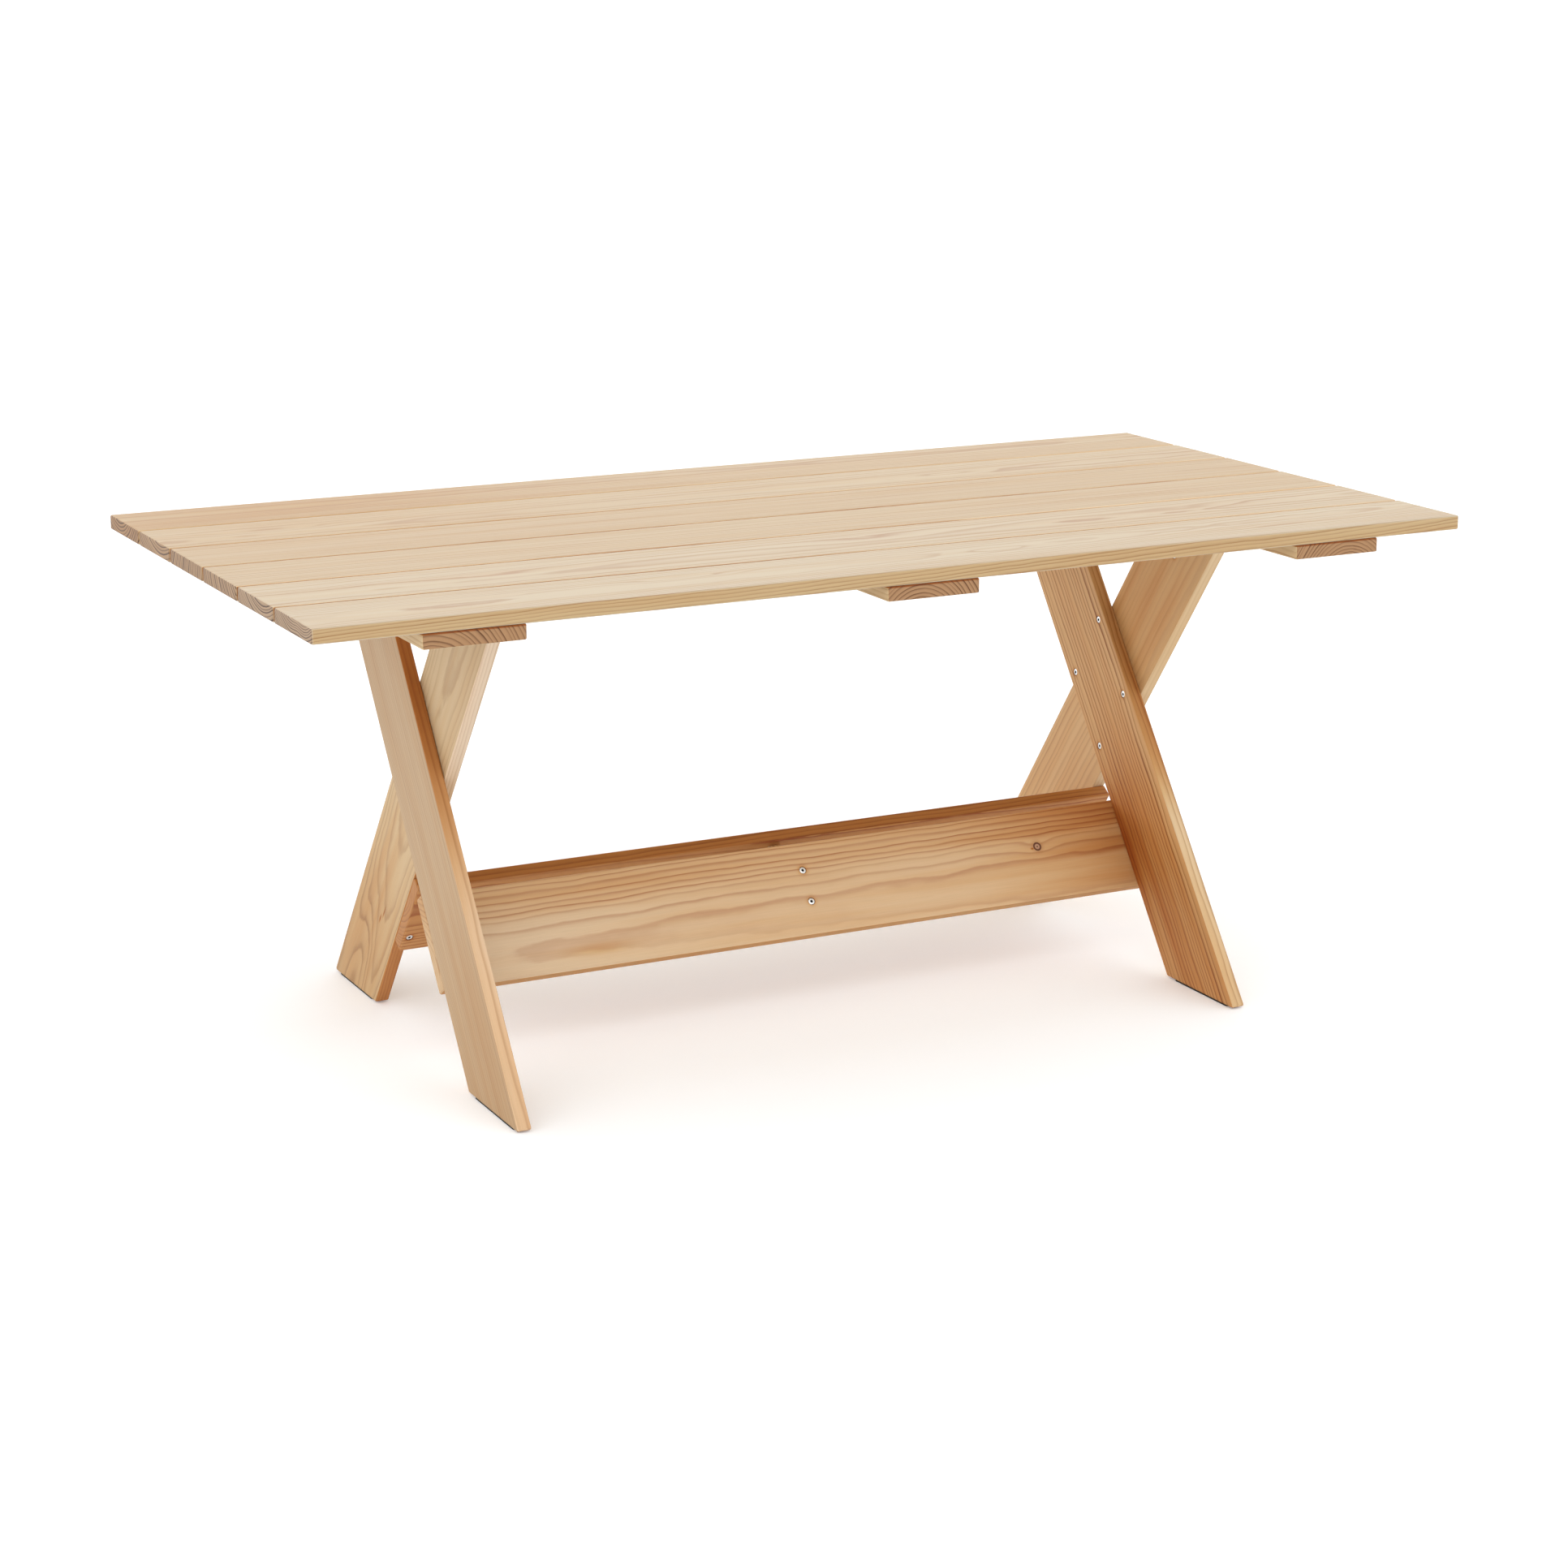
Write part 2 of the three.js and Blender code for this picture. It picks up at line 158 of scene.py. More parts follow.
class Graph:
    """Short calls that make and join nodes in one node tree."""

    def __init__(self, tree):
        self.tree = tree
        tree.nodes.clear()

    def add(self, kind, inputs=None, **settings):
        node = self.tree.nodes.new(kind)
        for setting, value in settings.items():
            setattr(node, setting, value)
        for socket, value in (inputs or {}).items():
            self.feed(node.inputs[socket], value)
        return node

    def feed(self, socket, value):
        if isinstance(value, bpy.types.NodeSocket):
            self.tree.links.new(value, socket)
        else:
            socket.default_value = value

    def math(self, operation, a, b=0.0, c=0.0):
        return self.add("ShaderNodeMath", {0: a, 1: b, 2: c}, operation=operation).outputs[0]

    def vector(self, operation, a, b=(0, 0, 0)):
        return self.add("ShaderNodeVectorMath", {0: a, 1: b}, operation=operation).outputs[0]

    def total(self, *terms):
        result = terms[0]
        for term in terms[1:]:
            result = self.math("ADD", result, term)
        return result

    def dot(self, a, b):
        return self.add("ShaderNodeVectorMath", {0: a, 1: b}, operation="DOT_PRODUCT").outputs["Value"]

    def combine(self, x, y, z):
        return self.add("ShaderNodeCombineXYZ", {0: x, 1: y, 2: z}).outputs[0]

    def ramp(self, value, low, high, at_low=0.0, at_high=1.0):
        """A smooth step from at_low to at_high as value goes from low to high."""
        inputs = {"Value": value, "From Min": low, "From Max": high, "To Min": at_low, "To Max": at_high}
        return self.add("ShaderNodeMapRange", inputs, interpolation_type="SMOOTHSTEP").outputs[0]

    def noise(self, vector, detail=2.0, roughness=0.5):
        """Noise about 0, from about -0.5 to 0.5."""
        inputs = {"Vector": vector, "Scale": 1.0, "Detail": detail, "Roughness": roughness}
        return self.math("SUBTRACT", self.add("ShaderNodeTexNoise", inputs).outputs[0], 0.5)

    def stretched(self, vector, lengths, seed):
        """A copy of vector in which one unit is as long as lengths say, moved on by the seed."""
        scale = [1 / length for length in lengths]
        inputs = {0: vector, 1: scale, 2: (seed * 7.31, seed * 3.17, seed * 5.73)}
        return self.add("ShaderNodeVectorMath", inputs, operation="MULTIPLY_ADD").outputs[0]

    def between(self, factor, a, b):
        """A number that goes from a to b as factor goes from 0 to 1."""
        return self.add("ShaderNodeMix", {0: factor, 2: a, 3: b}, data_type="FLOAT").outputs[0]

    def mix(self, factor, a, b, blend_type="MIX"):
        node = self.add("ShaderNodeMix", data_type="RGBA", blend_type=blend_type)
        self.feed(node.inputs[0], factor)
        self.feed(node.inputs[6], a)
        self.feed(node.inputs[7], b)
        return node.outputs[2]

    def surface(self, inputs):
        shader = self.add("ShaderNodeBsdfPrincipled", inputs)
        self.add("ShaderNodeOutputMaterial", {"Surface": shader.outputs[0]})


def new_material(name):
    """An empty material, and its graph."""
    material = bpy.data.materials.new(name)
    material.use_nodes = True
    return material, Graph(material.node_tree)


def colour(code):
    """A colour given as #rrggbb, as the shader's linear numbers."""
    channels = [int(code[i:i + 2], 16) / 255 for i in (1, 3, 5)]
    return tuple(c / 12.92 if c < 0.04045 else ((c + 0.055) / 1.055) ** 2.4 for c in channels) + (1.0,)


# ---------------------------------------------------------------- timber

# A board's own frame: its middle, and the directions along its grain, across it and out of its face.
Board = namedtuple("Board", "middle along across facing")

# Where a shaded point is in its board's own frame, in millimetres: along, across and out of the
# board's middle, and all three as one vector.
Inside = namedtuple("Inside", "x y z whole")

# The colours of one kind of timber: its early wood and the late wood that rings it, on its faces, on
# its narrow edges and on its ends; how strongly the rings show on each; and how squarely a surface
# must look out of the edge to have the edge's colours.
Timber = namedtuple("Timber", "face face_ring edge edge_ring end end_ring on_face on_edge on_end square")

TOP_TIMBER = Timber(
    face="#C4B49A", face_ring="#9F744C", on_face=0.7,
    edge="#BDA177", edge_ring="#8C6032", on_edge=0.75,
    end="#A1866A", end_ring="#4A3020", on_end=1.6,
    square=0.82,
)
BATTEN_TIMBER = Timber(
    face="#CBB188", face_ring="#A57C4C", on_face=0.5,
    edge="#CBB188", edge_ring="#A57C4C", on_edge=0.7,
    end="#A67E58", end_ring="#5E381E", on_end=1.0,
    square=0.45,
)
LEFT_TIMBER = Timber(
    face="#B29878", face_ring="#896641", on_face=0.5,
    edge="#DABFA0", edge_ring="#B8906A", on_edge=0.6,
    end="#B0896A", end_ring="#70482E", on_end=0.8,
    square=0.45,
)
LEFT_INNER_TIMBER = LEFT_TIMBER._replace(face="#BC9F77", face_ring="#8F693F")
RIGHT_TIMBER = Timber(
    face="#CAA270", face_ring="#8B5422", on_face=0.8,
    edge="#DCCAAC", edge_ring="#A57840", on_edge=0.6,
    end="#B0896A", end_ring="#70482E", on_end=0.8,
    square=0.45,
)
STRETCHER_TIMBER = Timber(
    face="#D5B995", face_ring="#9C5831", on_face=0.7,
    edge="#C59C69", edge_ring="#8A5426", on_edge=0.7,
    end="#BE9C74", end_ring="#8A6038", on_end=0.6,
    square=0.75,
)

# What timber is multiplied by for each step darker, both for its own tone and for painted shade.
TONE_AND_SHADE_STEP = (0.82, 0.60, 0.38)

# How far out of a board's middle its crown, a band of painted shade along the top of its thickness,
# begins and is complete, in millimetres.
CROWN_REACH = (7.6, 9.6)

# How wide and how dark the painted shade round a fastener's head is, in millimetres and steps.
HEAD_SHADE_REACH = 6.2
HEAD_SHADE_STEPS = 1.8

# How ragged the rings are, coarsely and finely: how many rings long and wide a wave is, and its share.
RAGGED_WAVES = ((15, 4, 2.0), (5, 1.6, 0.7))

# What timber is multiplied by in a warm band and in a fleck.
WARM_BAND = (0.93, 0.80, 0.66, 1.0)
FLECK = (0.72, 0.52, 0.34, 1.0)

# How much the fine grain darkens and brightens the timber, as a share.
GRAIN = 0.18

# A knot's colours, from its middle outwards.
KNOT_MIDDLE = "#5E4A2A"
KNOT_HEART = "#B58A6C"
KNOT_RIM = "#5E3422"
KNOT_HALO = "#A8703F"

# How a board was cut out of its log, in millimetres:
# seed    picks the board's own noise
# pith    where the log's middle runs, across and out of the board's own middle
# climb   how far it shifts that way for each millimetre along
# ring    how wide a growth ring is
# wander  how far the log's middle wanders
# ragged  how ragged the rings are
# Then what this board is like:
# tone    how many steps darker it is all over
# deep    places where it darkens: along, across, reach along, reach across, steps; mostly painted shade under the top, at joints and round fastener heads, with a few dark marks in the grain
# edges   painted shade on its narrow edges: where that begins and ends along the board, and the steps
# crown   painted shade: how many steps darker it is at the very top of its thickness, where the board above meets it
# arris   painted highlight: how much paler the long arrises of its upper face are, as a share
# bold    how strongly its rings show, for its kind of timber
# plain   places where the rings fade: along, across, reach along, reach across, share
# eyes    places where the rings bulge: along, across, reach along, reach across, rings
# knot    along, across, radius
Cut = namedtuple(
    "Cut", "seed pith climb ring wander ragged tone deep edges crown arris bold plain eyes knot",
    defaults=(0.0, (), (0, 1, 0), 0.0, 0.0, 1.0, (), (), ()),
)


def bell(g, inside, place):
    """1 at a place, falling smoothly to nothing: a place is along, across, reach along, reach across."""
    at_x, at_y, reach_x, reach_y = place[:4]
    u = g.math("MULTIPLY_ADD", inside.x, 1 / reach_x, -at_x / reach_x)
    v = g.math("MULTIPLY_ADD", inside.y, 1 / reach_y, -at_y / reach_y)
    squares = g.math("ADD", g.math("MULTIPLY", u, u), g.math("MULTIPLY", v, v))
    return g.math("EXPONENT", g.math("MULTIPLY", squares, -1.0))


def log_radius(g, inside, cut):
    """How far a point is from the log's middle, which wanders and climbs along the board."""
    squares = []
    for value, pith, climb, wave_length, seed in (
        (inside.y, cut.pith[0], cut.climb[0], 330, cut.seed),
        (inside.z, cut.pith[1], cut.climb[1], 250, cut.seed + 11),
    ):
        line = g.stretched(g.combine(inside.x, 0.0, 0.0), (wave_length, 1, 1), seed)
        wander = g.math("MULTIPLY", g.noise(line), 2 * cut.wander)
        straight = g.math("MULTIPLY_ADD", inside.x, -climb, -pith)
        offset = g.total(value, straight, wander)
        squares.append(g.math("MULTIPLY", offset, offset))
    radius = g.math("SQRT", g.math("ADD", *squares))
    for rings_along, rings_across, share in RAGGED_WAVES:
        lengths = (rings_along * cut.ring, rings_across * cut.ring, rings_across * cut.ring)
        waves = g.noise(g.stretched(inside.whole, lengths, cut.seed + share))
        radius = g.math("MULTIPLY_ADD", waves, share * cut.ragged, radius)
    for eye in cut.eyes:
        radius = g.math("MULTIPLY_ADD", bell(g, inside, eye), eye[4] * cut.ring, radius)
    if cut.knot:
        # The rings bend round a knot.
        knot_x, knot_y, knot_radius = cut.knot
        bend = bell(g, inside, (knot_x, knot_y, 5 * knot_radius, 2.2 * knot_radius))
        radius = g.math("MULTIPLY_ADD", bend, 0.9 * knot_radius, radius)
    return radius


def late_wood(g, inside, cut):
    """How much of a ring's line shows: early wood darkens slowly into late wood, then breaks off."""
    count = g.math("DIVIDE", log_radius(g, inside, cut), cut.ring)
    uneven = g.noise(g.combine(g.math("MULTIPLY", count, 0.33), cut.seed * 1.7, 0.0), 1.0)
    count = g.math("MULTIPLY_ADD", uneven, 2.2, count)
    phase = g.math("FRACT", count)
    number = g.math("FLOOR", count)
    own_strength = g.add("ShaderNodeTexWhiteNoise", {"W": number}, noise_dimensions="1D").outputs[0]
    shading = g.math("MULTIPLY", g.ramp(phase, 0.2, 0.85), 0.4)
    line = g.math("ADD", shading, g.math("MULTIPLY", g.ramp(phase, 0.55, 0.86), 0.6))
    line = g.math("MULTIPLY", line, g.ramp(phase, 0.87, 1.0, 1.0, 0.0))
    line = g.math("MULTIPLY", line, g.math("MULTIPLY_ADD", own_strength, 0.6, 0.4))
    fade = g.noise(g.stretched(inside.whole, (240, 45, 45), cut.seed + 3))
    line = g.math("MULTIPLY", line, g.math("MULTIPLY_ADD", fade, 1.1, 1.0))
    for place in cut.plain:
        kept = g.math("MULTIPLY_ADD", bell(g, inside, place), -place[4], 1.0)
        line = g.math("MULTIPLY", line, kept)
    return line


def tone_and_painted_shade(g, inside, cut, edge, bands):
    """What a point's colour is multiplied by, for the steps by which the board is darker there: its own
    tone, and painted shade on its narrow edges, at its crown, in its deep places and round fastener
    heads.
    """
    start, finish, steps = cut.edges
    on_edge = g.math("MULTIPLY", edge, g.ramp(inside.x, start, finish))
    depth = g.math("MULTIPLY_ADD", on_edge, steps, cut.tone)
    if cut.crown:
        depth = g.math("MULTIPLY_ADD", g.ramp(inside.z, *CROWN_REACH), cut.crown, depth)
    clouded = g.math("MULTIPLY_ADD", bands, 1.6, 1.0)
    for place in cut.deep:
        share = g.math("MULTIPLY", bell(g, inside, place), clouded)
        depth = g.math("MULTIPLY_ADD", share, place[4], depth)
    return g.combine(*(g.math("POWER", channel, depth) for channel in TONE_AND_SHADE_STEP))


def with_knot(g, inside, knot, tint):
    """The tint with a knot in it: a dark ring round a paler heart with a dark middle."""
    knot_x, knot_y, knot_radius = knot
    away = g.combine(g.math("SUBTRACT", inside.x, knot_x), g.math("SUBTRACT", inside.y, knot_y), 0.0)
    distance = g.add("ShaderNodeVectorMath", {0: away}, operation="LENGTH").outputs["Value"]
    reach = g.math("DIVIDE", distance, knot_radius)
    tint = g.mix(g.ramp(reach, 1.0, 2.2, 0.35, 0.0), tint, colour(KNOT_HALO))
    heart = g.mix(g.ramp(reach, 0.12, 0.26), colour(KNOT_MIDDLE), colour(KNOT_HEART))
    tint = g.mix(g.ramp(reach, 0.9, 1.1, 1.0, 0.0), tint, heart)
    rim = g.math("MULTIPLY", g.ramp(reach, 0.5, 0.75), g.ramp(reach, 0.95, 1.15, 1.0, 0.0))
    return g.mix(rim, tint, colour(KNOT_RIM))


def wood(name, board, timber, cut):
    """A board's own timber, solid all the way through."""
    material, g = new_material(name)
    position = g.add("ShaderNodeTexCoord").outputs["Object"]
    from_middle = g.vector("SUBTRACT", position, board.middle)
    x, y, z = (g.dot(from_middle, axis / MM) for axis in (board.along, board.across, board.facing))
    inside = Inside(x, y, z, g.combine(x, y, z))

    # How far the surface is an end or a narrow edge of the board.
    normal = g.add("ShaderNodeNewGeometry").outputs["Normal"]
    end = g.ramp(g.math("ABSOLUTE", g.dot(normal, board.along)), 0.55, 0.8)
    sideways = g.math("ABSOLUTE", g.dot(normal, board.across))
    edge = g.ramp(sideways, timber.square, timber.square + 0.2)

    # Growth rings on faces and narrow edges; those on ends join further down.
    line = late_wood(g, inside, cut)
    on_face = g.math("MULTIPLY", line, timber.on_face * cut.bold)
    on_edge = g.math("MULTIPLY", line, timber.on_edge * cut.bold)
    on_end = g.math("MULTIPLY", line, timber.on_end)
    tint = g.mix(on_face, colour(timber.face), colour(timber.face_ring))
    edge_tint = g.mix(on_edge, colour(timber.edge), colour(timber.edge_ring))
    end_tint = g.mix(on_end, colour(timber.end), colour(timber.end_ring))
    tint = g.mix(edge, tint, edge_tint)

    # Broad bands of warmer wood, and short dark flecks along the grain.
    bands = g.noise(g.stretched(inside.whole, (520, 26, 30), cut.seed + 5), 3.0)
    tint = g.mix(g.ramp(bands, -0.12, 0.22, 0.0, 0.5), tint, WARM_BAND, "MULTIPLY")
    specks = g.noise(g.stretched(inside.whole, (16, 0.5, 0.5), cut.seed + 9), 1.0)
    tint = g.mix(g.ramp(specks, 0.2, 0.3, 0.0, 0.22), tint, FLECK, "MULTIPLY")
    tint = g.mix(end, tint, end_tint)

    # Fine grain: fibres along the board and pores on its ends; and a painted highlight that makes the
    # arrises paler.
    fibres = g.noise(g.stretched(inside.whole, (70, 1.3, 1.3), cut.seed + 7), 3.0, 0.6)
    pores = g.noise(g.stretched(inside.whole, (8, 0.7, 0.7), cut.seed + 13), 2.0)
    grain = g.math("MULTIPLY_ADD", g.between(end, fibres, pores), GRAIN, 1.0)
    if cut.arris:
        upward = g.dot(normal, board.facing)
        arris_highlight = g.math("MULTIPLY", g.ramp(sideways, 0.1, 0.45), g.ramp(upward, 0.2, 0.5))
        grain = g.math("MULTIPLY", grain, g.math("MULTIPLY_ADD", arris_highlight, cut.arris, 1.0))
    tint = g.mix(1.0, tint, g.combine(grain, grain, grain), "MULTIPLY")

    # Its own tone, and painted shade on its edges, at its crown and in its deep places.
    tint = g.mix(1.0, tint, tone_and_painted_shade(g, inside, cut, edge, bands), "MULTIPLY")
    if cut.knot:
        tint = with_knot(g, inside, cut.knot, tint)

    roughness = g.math("MULTIPLY_ADD", line, -0.08, 0.62)
    relief = g.math("MULTIPLY_ADD", line, 0.5, g.math("MULTIPLY", fibres, 0.8))
    bump = g.add("ShaderNodeBump", {"Height": relief, "Strength": 0.35, "Distance": 0.12 * MM})
    g.surface({
        "Base Color": tint,
        "Roughness": roughness,
        "Specular IOR Level": 0.3,
        "Normal": bump.outputs[0],
    })
    return material


def lying_board(node, along, across):
    """The frame of a board whose middle is the middle of its own box."""
    low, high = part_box(node)
    return Board((low + high) / 2, along, across, along.cross(across))


def head_shade_places(node, board):
    """Places on a board's faces round the heads of the fasteners that are let into them, where painted
    shade darkens the wood.
    """
    axes = np.array([board.along, board.across, board.facing]) / MM
    middle = np.array(board.middle)
    points = np.array([v.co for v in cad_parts[node].data.vertices])
    half_length, half_width, half_thickness = np.abs((points - middle) @ axes.T).max(0)
    head_shades = []
    for fastener in sorted(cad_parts):
        if fastener.startswith(tuple(FASTENER_KINDS)):
            seat, _ = seat_of(fastener)
            x, y, z = axes @ (np.array(seat) - middle)
            if abs(abs(z) - half_thickness) < 1 and abs(x) < half_length and abs(y) < half_width:
                head_shades.append((x, y, HEAD_SHADE_REACH, HEAD_SHADE_REACH, HEAD_SHADE_STEPS))
    return tuple(head_shades)


def dress_board(node, board, timber, cut):
    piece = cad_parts[node]
    # Painted shade round the heads of fasteners joins the board's deep places.
    cut = cut._replace(deep=cut.deep + head_shade_places(node, board))
    piece.material_slots[0].material = wood(node, board, timber, cut)
    soften(piece)


def dress_boards():
    for node, cut in TOP_CUTS.items():
        dress_board(node, lying_board(node, X_AXIS, Y_AXIS), TOP_TIMBER, cut)
    for node, cut in BATTEN_CUTS.items():
        dress_board(node, lying_board(node, Y_AXIS, -X_AXIS), BATTEN_TIMBER, cut)
    for node, (lean, timber, cut) in LEG_CUTS.items():
        along = Vector((0, lean * math.sin(LEG_TILT), math.cos(LEG_TILT)))
        dress_board(node, lying_board(node, along, along.cross(X_AXIS)), timber, cut)
    for node, (side, cut) in STRETCHER_CUTS.items():
        up_slope = Vector((0, -side * math.sin(LEG_TILT), math.cos(LEG_TILT)))
        dress_board(node, lying_board(node, X_AXIS, up_slope), STRETCHER_TIMBER, cut)
    spacer = "stretcher_spacer"
    dress_board(spacer, lying_board(spacer, Y_AXIS, Z_AXIS), STRETCHER_TIMBER, SPACER_CUT)


def all_along(steps):
    """The `edges` of a board whose narrow edges are darker by as many steps over their whole length, as
    painted shade.
    """
    return (-2000, -1900, steps)


# Boards 2 to 5 have painted shade all along their narrow edges, in the gaps between the boards.
TOP_CUTS = {
    "top_board_1": Cut(
        1, pith=(5, 96), climb=(0.03, 0.006), ring=4.1, wander=5, ragged=0.9, bold=1.1,
        eyes=(
            (-930, -18, 130, 24, 1.8), (-630, 8, 60, 9, 1.0), (-345, 14, 80, 13, 1.6),
            (145, 6, 70, 12, 1.3), (640, -8, 110, 14, 1.2),
        ),
    ),
    "top_board_2": Cut(
        2, pith=(-12, 84), climb=(0.02, -0.005), ring=5.2, wander=5, ragged=0.9,
        tone=0.04, edges=all_along(2.4), arris=0.38,
        eyes=((30, 4, 130, 20, 1.7), (-560, -6, 90, 14, 1.0), (560, 10, 120, 16, 1.2)),
    ),
    "top_board_3": Cut(
        3, pith=(-115, 70), climb=(0.002, 0.006), ring=7.5, wander=6, ragged=0.8,
        tone=0.22, edges=all_along(2.4), arris=0.45,
        eyes=((300, 0, 120, 16, 1.1),),
    ),
    "top_board_4": Cut(
        4, pith=(130, 50), climb=(-0.006, 0.004), ring=5.4, wander=6, ragged=0.7,
        tone=0.26, edges=all_along(2.6), arris=0.28,
    ),
    "top_board_5": Cut(
        5, pith=(-20, 98), climb=(0.012, -0.006), ring=5.4, wander=6, ragged=1.0,
        tone=0.16, edges=all_along(2.4), arris=0.38,
        deep=((-600, 0, 450, 150, 0.15),),
        eyes=((-730, 0, 90, 14, 1.8), (405, -10, 70, 12, 1.6)),
    ),
    "top_board_6": Cut(
        6, pith=(26, 66), climb=(0.006, 0.003), ring=5.8, wander=5, ragged=0.7,
        tone=0.24, arris=0.38,
        deep=((-650, 0, 500, 150, 0.4),),
    ),
}

# A batten's crown is painted shade along the top of its sides and ends, where it meets the boards above.
BATTEN_CUTS = {
    "batten_left": Cut(
        21, pith=(62, -60), climb=(0.0, 0.006), ring=6.0, wander=5, ragged=0.8, crown=2.6,
    ),
    "batten_middle": Cut(
        22, pith=(20, -50), climb=(0.0, 0.004), ring=5.6, wander=5, ragged=0.8, crown=2.6,
    ),
    "batten_right": Cut(
        23, pith=(-20, -55), climb=(0.0, -0.005), ring=5.2, wander=5, ragged=1.3, crown=2.6,
    ),
}

# The legs' darker narrow edges and most of their deep places are painted shade, under the top and round
# the stretcher.
# Each leg has 1 if it leans to the rear as it rises, or -1 if to the front; its timber; and its cut.
LEG_CUTS = {
    "leg_left_outer": (1, LEFT_TIMBER, Cut(
        31, pith=(-150, -70), climb=(0.004, 0.004), ring=6.0, wander=5, ragged=0.7,
        tone=0.05, edges=(-240, 200, 2.3),
        deep=((-420, 0, 220, 150, 0.25),),
    )),
    "leg_left_inner": (-1, LEFT_INNER_TIMBER, Cut(
        32, pith=(-6, -110), climb=(0.0, 0.006), ring=4.6, wander=5, ragged=1.2,
        tone=-0.2, edges=(200, -150, 1.7), bold=1.7,
        deep=((-330, 0, 220, 120, 0.65), (-258, -14, 7, 1.5, 3.0), (-236, -20, 10, 1.3, 3.0)),
        plain=((300, 0, 240, 150, 0.5),),
        eyes=((-470, 8, 230, 40, 6.0),),
    )),
    "leg_right_inner": (1, RIGHT_TIMBER, Cut(
        33, pith=(-96, 44), climb=(0.006, 0.004), ring=8.0, wander=7, ragged=3.0,
        edges=(-200, -60, 1.25), bold=1.15,
        deep=(
            (-420, 0, 160, 120, 0.75), (-190, 20, 170, 80, 1.05), (-165, 66, 90, 32, 1.5),
            (30, -76, 90, 10, 0.6),
        ),
    )),
    "leg_right_outer": (-1, RIGHT_TIMBER, Cut(
        34, pith=(-80, 60), climb=(0.004, 0.008), ring=9.0, wander=8, ragged=2.6,
        tone=-0.27, edges=all_along(0.5), bold=0.5,
        deep=((240, 20, 160, 120, 0.7), (-250, 0, 200, 150, 0.1)),
        plain=((260, 0, 240, 150, 0.6),),
    )),
}

# Each stretcher board has its side of the ridge, -1 in front and 1 behind, and its cut.
STRETCHER_CUTS = {
    "stretcher_front": (-1, Cut(
        41, pith=(-36, -62), climb=(0.0, 0.006), ring=7.0, wander=4, ragged=2.0,
        # Its darker narrow edges, upper strip and right end are painted shade; the small spots at -345
        # and beside the knot are dark marks in the grain.
        edges=(600, -500, 0.6),
        deep=(
            (0, 66, 1400, 40, 0.5), (600, 20, 220, 110, 1.3), (-480, -30, 200, 70, -0.2),
            (-345, -46, 50, 9, 0.5), (0, -45, 350, 50, 0.15), (409, 11, 2.2, 1.3, 4.0),
        ),
        plain=((0, -62, 1200, 50, 0.7),),
        knot=(418.6, 13.3, 6.8),
    )),
    "stretcher_rear": (1, Cut(
        42, pith=(24, -60), climb=(0.0, -0.012), ring=6.0, wander=6, ragged=1.6,
        # Its tone is painted shade: the whole board is darkened because it lies in shade under the top,
        # behind the front board.
        tone=1.2, bold=1.2,
    )),
}

SPACER_CUT = Cut(43, pith=(10, -70), climb=(0.0, 0.01), ring=5.0, wander=6, ragged=1.0)

# ---------------------------------------------------------------- soft edges for CAD nodes

# Edges that turn more than this stay sharp.
SHARP_ANGLE = math.radians(55)


def edge_softener():
    """Geometry nodes that join a CAD node's loose faces and smooth all but its sharp edges."""
    group = bpy.data.node_groups.new("soft edges", "GeometryNodeTree")
    group.interface.new_socket("Geometry", in_out="INPUT", socket_type="NodeSocketGeometry")
    group.interface.new_socket("Geometry", in_out="OUTPUT", socket_type="NodeSocketGeometry")
    g = Graph(group)
    source = g.add("NodeGroupInput").outputs[0]
    plain = g.add("GeometryNodeRemoveAttribute", {"Geometry": source, "Name": "custom_normal"})
    joined = g.add("GeometryNodeMergeByDistance", {"Geometry": plain.outputs[0], "Distance": 0.02 * MM})
    smooth = g.add("GeometryNodeSetShadeSmooth", {"Geometry": joined.outputs[0], "Shade Smooth": True})
    angle = g.add("GeometryNodeInputMeshEdgeAngle").outputs["Unsigned Angle"]
    blunt = g.add("FunctionNodeCompare", {0: angle, 1: SHARP_ANGLE}, operation="LESS_THAN")
    shading = {"Geometry": smooth.outputs[0], "Shade Smooth": blunt.outputs[0]}
    edges = g.add("GeometryNodeSetShadeSmooth", shading, domain="EDGE")
    g.add("NodeGroupOutput", {0: edges.outputs[0]})
    return group


EDGE_SOFTENER = edge_softener()


def soften(piece):
    piece.modifiers.new("soft edges", "NODES").node_group = EDGE_SOFTENER
    weighted = piece.modifiers.new("weighted normals", "WEIGHTED_NORMAL")
    weighted.keep_sharp = True
    weighted.weight = 100


# ---------------------------------------------------------------- metal and rubber


def steel(name, bright, dull):
    """Zinc plate: soft highlights, faint clouds and fine scuffs."""
    material, g = new_material(name)
    position = g.add("ShaderNodeTexCoord").outputs["Object"]
    clouds = g.noise(g.stretched(position, (3 * MM,) * 3, 1), 3.0)
    scuffs = g.noise(g.stretched(position, (0.25 * MM,) * 3, 2), 2.0)
    tint = g.mix(g.ramp(clouds, -0.2, 0.2), colour(bright), colour(dull))
    roughness = g.math("MULTIPLY_ADD", g.math("ADD", clouds, scuffs), 0.16, 0.4)
    bump = g.add("ShaderNodeBump", {"Height": scuffs, "Strength": 0.2, "Distance": 0.02 * MM})
    g.surface({
        "Base Color": tint,
        "Metallic": 1.0,
        "Roughness": roughness,
        "Normal": bump.outputs[0],
    })
    return material


